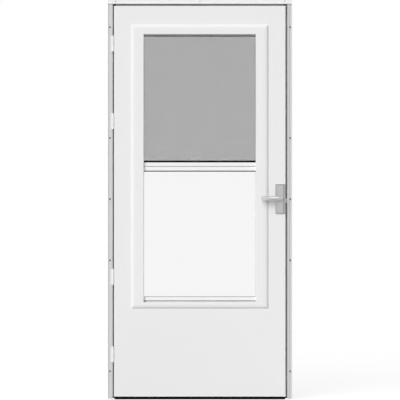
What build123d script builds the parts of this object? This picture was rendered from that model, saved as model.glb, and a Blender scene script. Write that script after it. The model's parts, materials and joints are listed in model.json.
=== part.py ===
from build123d import *
import os

# Self-storing storm door in its Z-bar frame, hinged at the left as seen from outside.
# X runs from the hinge side to the latch side, Y from outside to inside, Z up, in millimetres.
# The origin is on the back face of the hinge-side flange, at its foot, on the line of its screws.

os.makedirs("parts", exist_ok=True)

# Door slab
SLAB_WIDTH = 873.0
SLAB_HEIGHT = 1986.5
SLAB_THICKNESS = 30.0
SLAB_PROUD = 5.0
SLAB_EDGE_RADIUS = 3.0

# Running gaps round the slab
HINGE_GAP = 6.5
LATCH_GAP = 8.5
TOP_GAP = 10.5
SEAL_SPACE = 5.0
SEAL_CLEARANCE = 0.3
SEAT_CLEARANCE = 0.2

# Z-bar frame: the flange is hollowed between a lip at its outer edge and a flat crown by the gap
FLANGE_WIDTH = 24.0
FLANGE_LIP = 3.0
LIP_WIDTH = 1.2
FLANGE_HOLLOW = 1.2
FLANGE_CROWN = 3.2
CROWN_WIDTH = 9.5
BAR_WALL = 1.6
STOP_LEG = 15.0
HEADER_STOP_LEG = 20.0
HEADER_HEIGHT = 22.0
DRIP_REACH = 7.0
DRIP_HEIGHT = 6.0
DRIP_EDGE = 1.5

# Screw holes in the frame
SCREW_INSET = 10.0
SCREW_HOLE_RADIUS = 2.6
OUTER_SCREW_SPREAD = 1750.0
INNER_SCREW_SPREAD = 622.0
HEADER_SCREW_INSET = 38.0
HEADER_SCREW_RISE = 13.0

# Weatherstrip
STRIP_BASE_WIDTH = 6.0
STRIP_BASE_THICKNESS = 1.2
STRIP_OVERLAP = 3.5

# Bottom carrier and sweep
CARRIER_HEIGHT = 10.0
CARRIER_WALL = 1.6
CARRIER_LIP = 8.0
SWEEP_HEIGHT = 14.5
SWEEP_DROP = 3.5
SWEEP_FIN = 2.2
FOOT_CORNER = 10.0

# Hinges
HINGE_HEIGHT = 80.0
OUTER_HINGE_SPREAD = 1580.4
INNER_HINGE_SPREAD = 791.6
KNUCKLE_COUNT = 3
KNUCKLE_RADIUS = 3.0
KNUCKLE_GAP = 0.4
LEAF_THICKNESS = 1.5
LEAF_CLEARANCE = 0.2
JAMB_LEAF_WIDTH = 9.0
DOOR_LEAF_WIDTH = 20.0
PIN_RADIUS = 1.5
PIN_FIT = 0.05
PIN_HEAD_RADIUS = 2.7
PIN_HEAD_HEIGHT = 1.8

# Window opening and its moulding, which rolls down to a thin edge on the slab
WINDOW_SIDE_MARGIN = 89.25
WINDOW_TOP_MARGIN = 97.0
MOULDING_HEIGHT = 1440.0
MOULDING_SIDE = 63.0
MOULDING_TOP = 48.5
MOULDING_BOTTOM = 29.5
MOULDING_PROUD = 9.0
MOULDING_EDGE = 1.5
MOULDING_ROLL = 18.0
MOULDING_CHAMFER = 2.0

# Tracks, head and sill that line the cut-out
LINING_WIDTH = 20.0
CHANNEL_DEPTH = 12.0
FRONT_LIP = 4.0
MIDDLE_FIN = 2.8
SILL_RISE = 11.0
SILL_EDGE = 1.0
SILL_POCKET = 6.0
RETAINER_OVERLAP = 16.0
RETAINER_THICKNESS = 3.0
RETAINER_CHAMFER = 1.5

# Sashes and insect screen
SASH_THICKNESS = 8.0
CHANNEL_CLEARANCE = 0.3
STACK_GAP = 0.3
MEETING_GAP = 2.2
SCREEN_TOP_SHOW = 4.5
SCREEN_BOTTOM_RAIL = 18.6
SCREEN_SHEET = 0.8
SCREEN_BITE = 3.0
SCREEN_COLUMNS = 12
SCREEN_STRAND = 4.0
SPLINE_WIDTH = 5.5
SPLINE_FOOT = 9.8
SPLINE_DEPTH = 2.0
SASH_HEIGHT = 679.0
SASH_TOP_RAIL = 20.6
SASH_BOTTOM_RAIL = 15.5
GLASS_THICKNESS = 3.0
GASKET_SHOW = 5.0
GASKET_FOOT = 1.5
GASKET_WALL = 1.1
GASKET_BITE = 5.0

# Handle set and latch
LEVER_BACKSET = 31.5
LEVER_RISE = 3.0
OUTSIDE_PLATE_WIDTH = 51.0
OUTSIDE_PLATE_HEIGHT = 152.0
OUTSIDE_PLATE_SETBACK = 2.0
OUTSIDE_PLATE_EDGE = 2.0
OUTSIDE_PLATE_BODY = 8.0
PLATE_WIDE_BEVEL = 12.0
PLATE_NARROW_BEVEL = 8.0
PLATE_END_BEVEL = 6.0
PLATE_GROOVE_WIDTH = 2.0
PLATE_GROOVE_DEPTH = 1.5
PLATE_CORNER = 5.0
INSIDE_PLATE_WIDTH = 34.0
INSIDE_PLATE_HEIGHT = 120.0
INSIDE_PLATE_THICKNESS = 7.0
INSIDE_PLATE_CHAMFER = 2.5
ARM_LENGTH = 95.0
ARM_HUB_RADIUS = 12.5
ARM_TIP_HEIGHT = 22.0
ARM_TIP_CORNER = 6.0
ARM_THICKNESS = 11.0
ARM_TIP_THICKNESS = 7.0
ARM_EDGE_THICKNESS = 6.0
ARM_STANDOFF = 38.0
KEY_BOSS_RADIUS = 8.5
KEY_BOSS_RISE = 1.5
KEY_SLOT_LENGTH = 9.0
KEY_SLOT_WIDTH = 1.8
KEY_SLOT_DEPTH = 3.0
TURN_LENGTH = 15.0
TURN_WIDTH = 4.0
TURN_RISE = 9.0
NECK_RADIUS = 9.0
NECK_START = 1.0
NECK_CLEARANCE = 0.3
SPINDLE_SIDE = 8.0
SPINDLE_FIT = 0.05
SPINDLE_ENTRY = 20.0
SPINDLE_HOLE_RADIUS = 7.0
CASE_DEPTH = 46.0
CASE_WIDTH = 16.0
CASE_HEIGHT = 84.0
FACEPLATE_WIDTH = 22.0
FACEPLATE_HEIGHT = 108.0
FACEPLATE_THICKNESS = 1.6
BOLT_DROP = 12.0
BOLT_WIDTH = 12.0
BOLT_HEIGHT = 24.0
BOLT_REACH = 5.8
BOLT_LENGTH = 21.0
BOLT_THROW = 7.0
BOLT_FLAT = 3.0
BOLT_CLEARANCE = 0.3
STRIKE_WIDTH = 22.0
STRIKE_HEIGHT = 70.0
STRIKE_THICKNESS = 1.2
STRIKE_MARGIN = 2.0

# Places across the opening
outer_left = -SCREW_INSET
hinge_jamb = outer_left + FLANGE_WIDTH
slab_left = hinge_jamb + HINGE_GAP
slab_right = slab_left + SLAB_WIDTH
latch_jamb = slab_right + LATCH_GAP
outer_right = latch_jamb + FLANGE_WIDTH
latch_screws_x = outer_right - SCREW_INSET

# Places from outside to inside
face_y = -SLAB_PROUD
back_y = face_y + SLAB_THICKNESS
middle_y = (face_y + back_y) / 2
stop_y = back_y + SEAL_SPACE

# Heights
sweep_foot = -SWEEP_DROP
carrier_bottom = sweep_foot + SWEEP_HEIGHT
slab_bottom = carrier_bottom + CARRIER_HEIGHT
slab_top = carrier_bottom + SLAB_HEIGHT
header_z = slab_top + TOP_GAP
overall_height = header_z + HEADER_HEIGHT
middle_z = overall_height / 2

# Window, from the moulding inwards
moulding_left = slab_left + WINDOW_SIDE_MARGIN
moulding_right = slab_right - WINDOW_SIDE_MARGIN
moulding_top = slab_top - WINDOW_TOP_MARGIN
moulding_bottom = moulding_top - MOULDING_HEIGHT
opening_left = moulding_left + MOULDING_SIDE
opening_right = moulding_right - MOULDING_SIDE
opening_top = moulding_top - MOULDING_TOP
opening_bottom = moulding_bottom + MOULDING_BOTTOM
cut_left = opening_left - LINING_WIDTH
cut_right = opening_right + LINING_WIDTH
cut_top = opening_top + LINING_WIDTH
cut_bottom = opening_bottom - LINING_WIDTH

# Channels of the tracks and what slides in them
channel_width = SASH_THICKNESS + 2 * CHANNEL_CLEARANCE
outer_channel_y = face_y + FRONT_LIP
inner_channel_y = outer_channel_y + channel_width + MIDDLE_FIN
outer_sash_y = outer_channel_y + CHANNEL_CLEARANCE
inner_sash_y = inner_channel_y + CHANNEL_CLEARANCE
sash_entry = CHANNEL_DEPTH - CHANNEL_CLEARANCE
sash_left = opening_left - sash_entry
sash_right = opening_right + sash_entry
sash_bottom = opening_bottom + SILL_RISE + STACK_GAP
sash_top = sash_bottom + SASH_HEIGHT
screen_bottom = sash_top + MEETING_GAP
screen_top = opening_top + sash_entry
sash_outline = ((sash_left, sash_bottom), (sash_right, sash_top))
screen_outline = ((sash_left, screen_bottom), (sash_right, screen_top))

# Inner edges of the sashes and of the screen frame, with the stiles hidden in the channels
sash_window = (
    (opening_left - GASKET_SHOW, sash_bottom + SASH_BOTTOM_RAIL),
    (opening_right + GASKET_SHOW, sash_top - SASH_TOP_RAIL),
)
sash_view = ((opening_left, sash_window[0][1] + GASKET_FOOT), (opening_right, sash_window[1][1] - GASKET_SHOW))
screen_window = (
    (opening_left - SPLINE_WIDTH, screen_bottom + SCREEN_BOTTOM_RAIL),
    (opening_right + SPLINE_WIDTH, opening_top - SCREEN_TOP_SHOW),
)
screen_view = ((opening_left, screen_window[0][1] + SPLINE_FOOT), (opening_right, screen_window[1][1] - SPLINE_WIDTH))

# Hinge line
pin_x = hinge_jamb + HINGE_GAP / 2
pin_y = -FLANGE_CROWN - KNUCKLE_RADIUS
hinge_heights = [
    middle_z + OUTER_HINGE_SPREAD / 2,
    middle_z + INNER_HINGE_SPREAD / 2,
    middle_z - INNER_HINGE_SPREAD / 2,
    middle_z - OUTER_HINGE_SPREAD / 2,
]
knuckle_pitch = HINGE_HEIGHT / KNUCKLE_COUNT

# Handle and latch line
lever_x = slab_right - LEVER_BACKSET
lever_z = middle_z + LEVER_RISE
bolt_z = lever_z - BOLT_DROP
bolt_tip = slab_right + BOLT_REACH
bolt_tail = bolt_tip - BOLT_LENGTH
case_left = slab_right - CASE_DEPTH
outside_wall = Plane(origin=(lever_x, face_y, lever_z), x_dir=(1, 0, 0), z_dir=(0, -1, 0))
inside_wall = Plane(origin=(lever_x, back_y, lever_z), x_dir=(1, 0, 0), z_dir=(0, 1, 0))

side_screw_heights = [
    middle_z + OUTER_SCREW_SPREAD / 2,
    middle_z + INNER_SCREW_SPREAD / 2,
    middle_z,
    middle_z - INNER_SCREW_SPREAD / 2,
    middle_z - OUTER_SCREW_SPREAD / 2,
]


def finish(piece, label):
    """Name a finished piece and write its STEP file."""
    piece.part.label = label
    export_step(piece.part, f"parts/{label}.step")


def facing_out(y):
    """Sketch plane across the door at this depth: X to the right, Z up, facing outside."""
    return Plane.XZ.offset(-y)


def rectangle_between(low, high, mode=Mode.ADD):
    """Rectangle with these two opposite corners."""
    with Locations(low):
        Rectangle(high[0] - low[0], high[1] - low[1], align=(Align.MIN, Align.MIN), mode=mode)


def grown(corners, by):
    """Two opposite corners moved outwards by this much."""
    low, high = corners
    return (low[0] - by, low[1] - by), (high[0] + by, high[1] + by)


def side_bar(edge, jamb, inward):
    """Side Z-bar seen from above: hollowed flange, return leg and stop leg, run up to the header."""
    lip_edge = edge + inward * LIP_WIDTH
    crown_edge = jamb - inward * CROWN_WIDTH
    leg = jamb - inward * BAR_WALL
    toe = jamb + inward * STOP_LEG
    with BuildSketch(Plane.XY) as section:
        with BuildLine():
            Polyline((edge, 0), (edge, -FLANGE_LIP), (lip_edge, -FLANGE_LIP))
            ThreePointArc(
                (lip_edge, -FLANGE_LIP),
                ((lip_edge + crown_edge) / 2, -FLANGE_HOLLOW),
                (crown_edge, -FLANGE_CROWN),
            )
            Polyline(
                (crown_edge, -FLANGE_CROWN),
                (jamb, -FLANGE_CROWN),
                (jamb, stop_y),
                (toe, stop_y),
                (toe, stop_y + BAR_WALL),
                (leg, stop_y + BAR_WALL),
                (leg, 0),
                (edge, 0),
            )
        make_face()
    extrude(section.sketch, amount=header_z)


def flange_holes(places):
    """Screw holes through a flange at these places in X and Z."""
    with BuildSketch(facing_out(0)) as holes:
        with Locations(*places):
            Circle(SCREW_HOLE_RADIUS)
    extrude(holes.sketch, amount=FLANGE_CROWN, mode=Mode.SUBTRACT)


def strip_section(centre, across):
    """Seal section: flat base on the stop leg and a round bulb that meets the slab."""
    reach = SEAL_SPACE - SEAL_CLEARANCE - STRIP_BASE_THICKNESS
    base_y = stop_y - STRIP_BASE_THICKNESS
    half = STRIP_BASE_WIDTH / 2
    if across:
        with Locations((base_y - reach / 2, centre)):
            Circle(reach / 2)
        rectangle_between((base_y, centre - half), (stop_y, centre + half))
        rectangle_between((base_y - reach / 2, centre - reach / 4), (base_y, centre + reach / 4))
    else:
        with Locations((centre, base_y - reach / 2)):
            Circle(reach / 2)
        rectangle_between((centre - half, base_y), (centre + half, stop_y))
        rectangle_between((centre - reach / 4, base_y - reach / 2), (centre + reach / 4, base_y))


def round_the_foot():
    """Round the two bottom corners of what hangs under the slab, as seen from outside."""
    with BuildSketch(facing_out(back_y)) as outline:
        rectangle_between((slab_left, sweep_foot), (slab_right, slab_bottom))
        foot = vertices().group_by(Axis.Y)[0]
        fillet(foot, radius=FOOT_CORNER)
    extrude(outline.sketch, amount=SLAB_THICKNESS, mode=Mode.INTERSECT)


def knuckle_spans(first):
    """Height spans of every second knuckle, counted from the hinge's foot."""
    spans = []
    for index in range(first, KNUCKLE_COUNT, 2):
        spans.append((index * knuckle_pitch + KNUCKLE_GAP / 2, knuckle_pitch - KNUCKLE_GAP))
    return spans


def slab_of(corners, middle, thickness, mode=Mode.ADD):
    """Flat slab across the door between two corners, centred on a depth."""
    with BuildSketch(facing_out(middle + thickness / 2)) as outline:
        rectangle_between(*corners)
    extrude(outline.sketch, amount=thickness, mode=mode)


def panel_frame(outline, window, front, bite, sheet):
    """Sash or screen frame, with the groove round its window that takes the sheet."""
    middle = front + SASH_THICKNESS / 2
    slab_of(outline, middle, SASH_THICKNESS)
    slab_of(window, middle, SASH_THICKNESS, mode=Mode.SUBTRACT)
    slab_of(grown(window, bite + SEAT_CLEARANCE), middle, sheet + 2 * SEAT_CLEARANCE, mode=Mode.SUBTRACT)


def glazing_gasket(front):
    """U-shaped gasket that wraps the edge of the glass and sits in the groove of its sash."""
    middle = front + SASH_THICKNESS / 2
    slab_of(grown(sash_window, GASKET_BITE), middle, GLASS_THICKNESS + 2 * GASKET_WALL)
    slab_of(sash_view, middle, GLASS_THICKNESS + 2 * GASKET_WALL, mode=Mode.SUBTRACT)
    slab_of(grown(sash_window, GASKET_BITE - GASKET_WALL), middle, GLASS_THICKNESS, mode=Mode.SUBTRACT)


def glass_pane(front):
    """Pane whose edge sits in its gasket."""
    edge = GASKET_BITE - GASKET_WALL - SEAT_CLEARANCE
    slab_of(grown(sash_window, edge), front + SASH_THICKNESS / 2, GLASS_THICKNESS)


def lever_handle(wall):
    """Lever with its arm towards the hinge side: outline, plan and crowned section cut from one block."""
    outward = -wall.z_dir.Y
    root = wall.origin.Y
    hub_front = ARM_STANDOFF + ARM_THICKNESS
    with BuildSketch(wall) as outline:
        Circle(ARM_HUB_RADIUS)
        with Locations((-ARM_LENGTH + ARM_TIP_HEIGHT / 2, 0)):
            RectangleRounded(ARM_TIP_HEIGHT, ARM_TIP_HEIGHT, ARM_TIP_CORNER)
        make_hull()
    extrude(outline.sketch, amount=hub_front)

    # Seen from above: the arm thins towards its tip from behind and sweeps back in front.
    tip = lever_x - ARM_LENGTH - 1
    heel = lever_x - ARM_HUB_RADIUS
    end = lever_x + ARM_HUB_RADIUS + 1
    behind = root - outward * ARM_STANDOFF
    hub_y = root - outward * hub_front
    tip_y = root - outward * (ARM_STANDOFF + ARM_TIP_THICKNESS)
    sag_y = root - outward * (hub_front - 0.8)
    with BuildSketch(Plane.XY.offset(lever_z - ARM_HUB_RADIUS)) as plan:
        with BuildLine():
            Polyline((heel, hub_y), (end, hub_y), (end, behind), (tip, behind), (tip, tip_y))
            ThreePointArc((tip, tip_y), ((tip + heel) / 2, sag_y), (heel, hub_y))
        make_face()
    extrude(plan.sketch, amount=2 * ARM_HUB_RADIUS, mode=Mode.INTERSECT)

    # Seen from its end: flat behind, softly crowned in front.
    edge_y = root - outward * (ARM_STANDOFF + ARM_EDGE_THICKNESS)
    with BuildSketch(Plane.YZ.offset(tip)) as section:
        with BuildLine():
            Polyline(
                (edge_y, lever_z + ARM_HUB_RADIUS),
                (behind, lever_z + ARM_HUB_RADIUS),
                (behind, lever_z - ARM_HUB_RADIUS),
                (edge_y, lever_z - ARM_HUB_RADIUS),
            )
            ThreePointArc(
                (edge_y, lever_z - ARM_HUB_RADIUS),
                (hub_y, lever_z),
                (edge_y, lever_z + ARM_HUB_RADIUS),
            )
        make_face()
    extrude(section.sketch, amount=end - tip, mode=Mode.INTERSECT)

    with BuildSketch(wall.offset(NECK_START)) as neck:
        Circle(NECK_RADIUS)
    extrude(neck.sketch, amount=ARM_STANDOFF - NECK_START + ARM_EDGE_THICKNESS / 2)
    with BuildSketch(wall.offset(ARM_STANDOFF + ARM_EDGE_THICKNESS)) as boss:
        Circle(KEY_BOSS_RADIUS)
    extrude(boss.sketch, amount=ARM_THICKNESS - ARM_EDGE_THICKNESS + KEY_BOSS_RISE)
    with BuildSketch(wall.offset(NECK_START)) as socket:
        Rectangle(SPINDLE_SIDE + 2 * SPINDLE_FIT, SPINDLE_SIDE + 2 * SPINDLE_FIT)
    extrude(socket.sketch, amount=SPINDLE_ENTRY, mode=Mode.SUBTRACT)


# Z-bar frame

with BuildPart() as hinge_side_z_bar:
    side_bar(outer_left, hinge_jamb, 1)
    flange_holes([(0, z) for z in side_screw_heights])
finish(hinge_side_z_bar, "hinge_side_z_bar")

with BuildPart() as latch_side_z_bar:
    side_bar(outer_right, latch_jamb, -1)
    flange_holes([(latch_screws_x, z) for z in side_screw_heights])
finish(latch_side_z_bar, "latch_side_z_bar")

# The header lies over both side bars, and its stop leg fits between theirs.
with BuildPart() as header_z_bar:
    with BuildSketch(Plane.YZ.offset(outer_left)):
        rectangle_between((-BAR_WALL, header_z), (0, overall_height))
        with BuildLine():
            Polyline(
                (-BAR_WALL, header_z),
                (-BAR_WALL - DRIP_REACH, header_z),
                (-BAR_WALL - DRIP_REACH, header_z + DRIP_EDGE),
                (-BAR_WALL, header_z + DRIP_HEIGHT),
                close=True,
            )
        make_face()
    extrude(amount=outer_right - outer_left)
    with BuildSketch(Plane.YZ.offset(hinge_jamb - BAR_WALL)):
        rectangle_between((0, header_z), (stop_y + BAR_WALL, header_z + BAR_WALL))
    extrude(amount=latch_jamb - hinge_jamb + 2 * BAR_WALL)
    with BuildSketch(Plane.YZ.offset(hinge_jamb + STOP_LEG + SEAT_CLEARANCE)):
        rectangle_between((stop_y, header_z - HEADER_STOP_LEG), (stop_y + BAR_WALL, header_z + BAR_WALL))
    extrude(amount=latch_jamb - hinge_jamb - 2 * (STOP_LEG + SEAT_CLEARANCE))
    header_hole_z = header_z + HEADER_SCREW_RISE
    flange_holes(
        [
            (outer_left + HEADER_SCREW_INSET, header_hole_z),
            ((outer_left + outer_right) / 2, header_hole_z),
            (outer_right - HEADER_SCREW_INSET, header_hole_z),
        ]
    )
finish(header_z_bar, "header_z_bar")

# Weatherstrip on the three stop legs

with BuildPart() as hinge_side_weatherstrip:
    with BuildSketch(Plane.XY):
        strip_section(slab_left + STRIP_OVERLAP, False)
    extrude(amount=header_z)
finish(hinge_side_weatherstrip, "hinge_side_weatherstrip")

with BuildPart() as latch_side_weatherstrip:
    with BuildSketch(Plane.XY):
        strip_section(slab_right - STRIP_OVERLAP, False)
    extrude(amount=header_z)
finish(latch_side_weatherstrip, "latch_side_weatherstrip")

with BuildPart() as header_weatherstrip:
    with BuildSketch(Plane.YZ.offset(hinge_jamb + STOP_LEG + SEAT_CLEARANCE)):
        strip_section(slab_top - STRIP_OVERLAP, True)
    extrude(amount=latch_jamb - hinge_jamb - 2 * (STOP_LEG + SEAT_CLEARANCE))
finish(header_weatherstrip, "header_weatherstrip")

# Strike plate on the latch-side return leg

with BuildPart() as strike_plate:
    with BuildSketch(Plane.YZ.offset(latch_jamb - STRIKE_THICKNESS)):
        with Locations((middle_y, bolt_z)):
            Rectangle(STRIKE_WIDTH, STRIKE_HEIGHT)
            Rectangle(
                BOLT_WIDTH + 2 * STRIKE_MARGIN, BOLT_HEIGHT + 2 * STRIKE_MARGIN, mode=Mode.SUBTRACT
            )
    extrude(amount=STRIKE_THICKNESS)
finish(strike_plate, "strike_plate")

# Hinges, numbered from the top: each leaf's knuckles fill the spaces between the other's, on one pin

for number, height in enumerate(hinge_heights, start=1):
    foot = height - HINGE_HEIGHT / 2
    leaf_edge = pin_x - KNUCKLE_RADIUS - LEAF_CLEARANCE
    leaf_front = -FLANGE_CROWN - LEAF_THICKNESS
    with BuildPart() as jamb_leaf:
        with BuildSketch(Plane.XY.offset(foot)):
            rectangle_between((hinge_jamb - JAMB_LEAF_WIDTH, leaf_front), (leaf_edge, -FLANGE_CROWN))
        extrude(amount=HINGE_HEIGHT)
        for start, length in knuckle_spans(0):
            with BuildSketch(Plane.XY.offset(foot + start)):
                rectangle_between((leaf_edge, leaf_front), (pin_x, -FLANGE_CROWN))
                with Locations((pin_x, pin_y)):
                    Circle(KNUCKLE_RADIUS)
                    Circle(PIN_RADIUS + PIN_FIT, mode=Mode.SUBTRACT)
            extrude(amount=length)
    finish(jamb_leaf, f"jamb_hinge_leaf_{number}")

    leaf_start = pin_y + KNUCKLE_RADIUS + LEAF_CLEARANCE
    with BuildPart() as door_leaf:
        with BuildSketch(Plane.XY.offset(foot)):
            rectangle_between(
                (slab_left - LEAF_THICKNESS, leaf_start), (slab_left, leaf_start + DOOR_LEAF_WIDTH)
            )
        extrude(amount=HINGE_HEIGHT)
        for start, length in knuckle_spans(1):
            with BuildSketch(Plane.XY.offset(foot + start)):
                rectangle_between((slab_left - LEAF_THICKNESS, pin_y), (slab_left, leaf_start))
                with Locations((pin_x, pin_y)):
                    Circle(KNUCKLE_RADIUS)
                    Circle(PIN_RADIUS + PIN_FIT, mode=Mode.SUBTRACT)
            extrude(amount=length)
    finish(door_leaf, f"door_hinge_leaf_{number}")

    with BuildPart() as hinge_pin:
        with BuildSketch(Plane.XY.offset(foot)):
            with Locations((pin_x, pin_y)):
                Circle(PIN_RADIUS)
        extrude(amount=HINGE_HEIGHT)
        with BuildSketch(Plane.XY.offset(foot + HINGE_HEIGHT)):
            with Locations((pin_x, pin_y)):
                Circle(PIN_HEAD_RADIUS)
        extrude(amount=PIN_HEAD_HEIGHT)
    finish(hinge_pin, f"hinge_pin_{number}")

# Door slab with the window cut-out, the latch mortise and the spindle hole

with BuildPart() as door_slab:
    with BuildSketch(facing_out(back_y)):
        rectangle_between((slab_left, slab_bottom), (slab_right, slab_top))
    extrude(amount=SLAB_THICKNESS)
    side_edges = edges().filter_by(Axis.Z)
    top_edges = edges().filter_by(Axis.X).group_by(Axis.Z)[-1]
    fillet(side_edges + top_edges, radius=SLAB_EDGE_RADIUS)
    with BuildSketch(facing_out(back_y)):
        rectangle_between((cut_left, cut_bottom), (cut_right, cut_top))
    extrude(amount=SLAB_THICKNESS, mode=Mode.SUBTRACT)
    with BuildSketch(Plane.YZ.offset(case_left)):
        with Locations((middle_y, bolt_z)):
            Rectangle(CASE_WIDTH + 2 * SEAT_CLEARANCE, CASE_HEIGHT + 2 * SEAT_CLEARANCE)
    extrude(amount=CASE_DEPTH, mode=Mode.SUBTRACT)
    with BuildSketch(Plane.YZ.offset(slab_right - FACEPLATE_THICKNESS)):
        with Locations((middle_y, bolt_z)):
            Rectangle(FACEPLATE_WIDTH + 2 * SEAT_CLEARANCE, FACEPLATE_HEIGHT + 2 * SEAT_CLEARANCE)
    extrude(amount=FACEPLATE_THICKNESS, mode=Mode.SUBTRACT)
    with BuildSketch(facing_out(back_y)):
        with Locations((lever_x, lever_z)):
            Circle(NECK_RADIUS + NECK_CLEARANCE)
    extrude(amount=SLAB_THICKNESS, mode=Mode.SUBTRACT)
finish(door_slab, "door_slab")

# Carrier under the slab: a channel open downwards, with lips that hold the sweep
with BuildPart() as sweep_carrier:
    with BuildSketch(Plane.YZ.offset(slab_left)):
        rectangle_between((face_y, carrier_bottom), (back_y, slab_bottom))
        rectangle_between(
            (face_y + CARRIER_WALL, carrier_bottom + CARRIER_WALL),
            (back_y - CARRIER_WALL, slab_bottom - CARRIER_WALL),
            mode=Mode.SUBTRACT,
        )
        rectangle_between(
            (face_y + CARRIER_LIP, carrier_bottom),
            (back_y - CARRIER_LIP, carrier_bottom + CARRIER_WALL),
            mode=Mode.SUBTRACT,
        )
    extrude(amount=SLAB_WIDTH)
    round_the_foot()
finish(sweep_carrier, "sweep_carrier")

# Sweep: a base slid into the carrier, a neck through its mouth and two fins
with BuildPart() as bottom_sweep:
    with BuildSketch(Plane.YZ.offset(slab_left)):
        inner_front = face_y + CARRIER_WALL + SEAT_CLEARANCE
        inner_back = back_y - CARRIER_WALL - SEAT_CLEARANCE
        neck_front = face_y + CARRIER_LIP + SEAT_CLEARANCE
        neck_back = back_y - CARRIER_LIP - SEAT_CLEARANCE
        base_bottom = carrier_bottom + CARRIER_WALL + SEAT_CLEARANCE
        shoulder = carrier_bottom - SEAT_CLEARANCE
        rectangle_between((inner_front, base_bottom), (inner_back, base_bottom + SWEEP_FIN))
        rectangle_between((neck_front, shoulder), (neck_back, base_bottom))
        rectangle_between((face_y, shoulder - SWEEP_FIN), (back_y, shoulder))
        rectangle_between((face_y, sweep_foot), (face_y + SWEEP_FIN, shoulder))
        rectangle_between((back_y - SWEEP_FIN, sweep_foot), (back_y, shoulder))
    extrude(amount=SLAB_WIDTH)
    round_the_foot()
finish(bottom_sweep, "bottom_sweep")

# Window moulding: its rolled edge is swept round the window and mitred at the corners,
# and a flat ring fills the space between the roll and the opening.

with BuildPart() as window_moulding:
    with BuildLine() as rim:
        Polyline(
            (moulding_left, face_y, middle_z),
            (moulding_left, face_y, moulding_top),
            (moulding_right, face_y, moulding_top),
            (moulding_right, face_y, moulding_bottom),
            (moulding_left, face_y, moulding_bottom),
            close=True,
        )
    with BuildSketch(Plane(origin=(moulding_left, face_y, middle_z), x_dir=(1, 0, 0), z_dir=(0, 0, 1))) as roll:
        with BuildLine():
            Line((0, 0), (0, -MOULDING_EDGE))
            EllipticalCenterArc(
                (MOULDING_ROLL, -MOULDING_EDGE),
                MOULDING_ROLL,
                MOULDING_PROUD - MOULDING_EDGE,
                start_angle=180,
                arc_size=90,
            )
            Polyline((MOULDING_ROLL, -MOULDING_PROUD), (MOULDING_ROLL, 0), (0, 0))
        make_face()
    sweep(sections=roll.sketch, path=rim.line, transition=Transition.RIGHT)
    with BuildSketch(facing_out(face_y)) as ring:
        rectangle_between(
            (moulding_left + MOULDING_ROLL, moulding_bottom + MOULDING_ROLL),
            (moulding_right - MOULDING_ROLL, moulding_top - MOULDING_ROLL),
        )
        rectangle_between(
            (opening_left, opening_bottom), (opening_right, opening_top), mode=Mode.SUBTRACT
        )
    extrude(ring.sketch, amount=MOULDING_PROUD)
    opening_edges = faces().sort_by(Axis.Y)[0].inner_wires()[0].edges()
    chamfer(opening_edges, length=MOULDING_CHAMFER)
finish(window_moulding, "window_moulding")

with BuildPart() as inside_retainer:
    with BuildSketch(facing_out(back_y + RETAINER_THICKNESS)):
        rectangle_between(
            (cut_left - RETAINER_OVERLAP, cut_bottom - RETAINER_OVERLAP),
            (cut_right + RETAINER_OVERLAP, cut_top + RETAINER_OVERLAP),
        )
        rectangle_between(
            (opening_left, opening_bottom), (opening_right, opening_top), mode=Mode.SUBTRACT
        )
    extrude(amount=RETAINER_THICKNESS)
    chamfer(faces().sort_by(Axis.Y)[-1].outer_wire().edges(), length=RETAINER_CHAMFER)
finish(inside_retainer, "inside_retainer")


# Lining of the cut-out: two side tracks, a head and a sill


def track(wall, mouth):
    """Side track: a bar with an outer and an inner channel, open towards the window."""
    inward = 1 if mouth > wall else -1
    floor = mouth - inward * CHANNEL_DEPTH
    with BuildSketch(Plane.XY.offset(cut_bottom)) as section:
        rectangle_between((min(wall, mouth), face_y), (max(wall, mouth), back_y))
        for channel in (outer_channel_y, inner_channel_y):
            rectangle_between(
                (min(floor, mouth), channel), (max(floor, mouth), channel + channel_width), mode=Mode.SUBTRACT
            )
    extrude(section.sketch, amount=cut_top - cut_bottom)


with BuildPart() as hinge_side_track:
    track(cut_left, opening_left)
finish(hinge_side_track, "hinge_side_track")

with BuildPart() as latch_side_track:
    track(cut_right, opening_right)
finish(latch_side_track, "latch_side_track")

with BuildPart() as window_head:
    with BuildSketch(Plane.YZ.offset(opening_left)):
        rectangle_between((face_y, opening_top), (back_y, cut_top))
        for channel in (outer_channel_y, inner_channel_y):
            rectangle_between(
                (channel, opening_top), (channel + channel_width, opening_top + CHANNEL_DEPTH), mode=Mode.SUBTRACT
            )
    extrude(amount=opening_right - opening_left)
finish(window_head, "window_head")

with BuildPart() as window_sill:
    with BuildSketch(Plane.YZ.offset(opening_left)):
        with BuildLine():
            Polyline(
                (face_y, cut_bottom),
                (face_y, opening_bottom + SILL_EDGE),
                (inner_channel_y - MIDDLE_FIN, opening_bottom + SILL_POCKET),
                (inner_channel_y - MIDDLE_FIN, opening_bottom + SILL_RISE),
                (back_y, opening_bottom + SILL_RISE),
                (back_y, cut_bottom),
                close=True,
            )
        make_face()
    extrude(amount=opening_right - opening_left)
finish(window_sill, "window_sill")

# Insect screen in the upper half: frame, cloth, and the spline that holds the cloth

with BuildPart() as screen_frame:
    panel_frame(screen_outline, screen_window, outer_sash_y, SCREEN_BITE, SCREEN_SHEET)
finish(screen_frame, "screen_frame")

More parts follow.
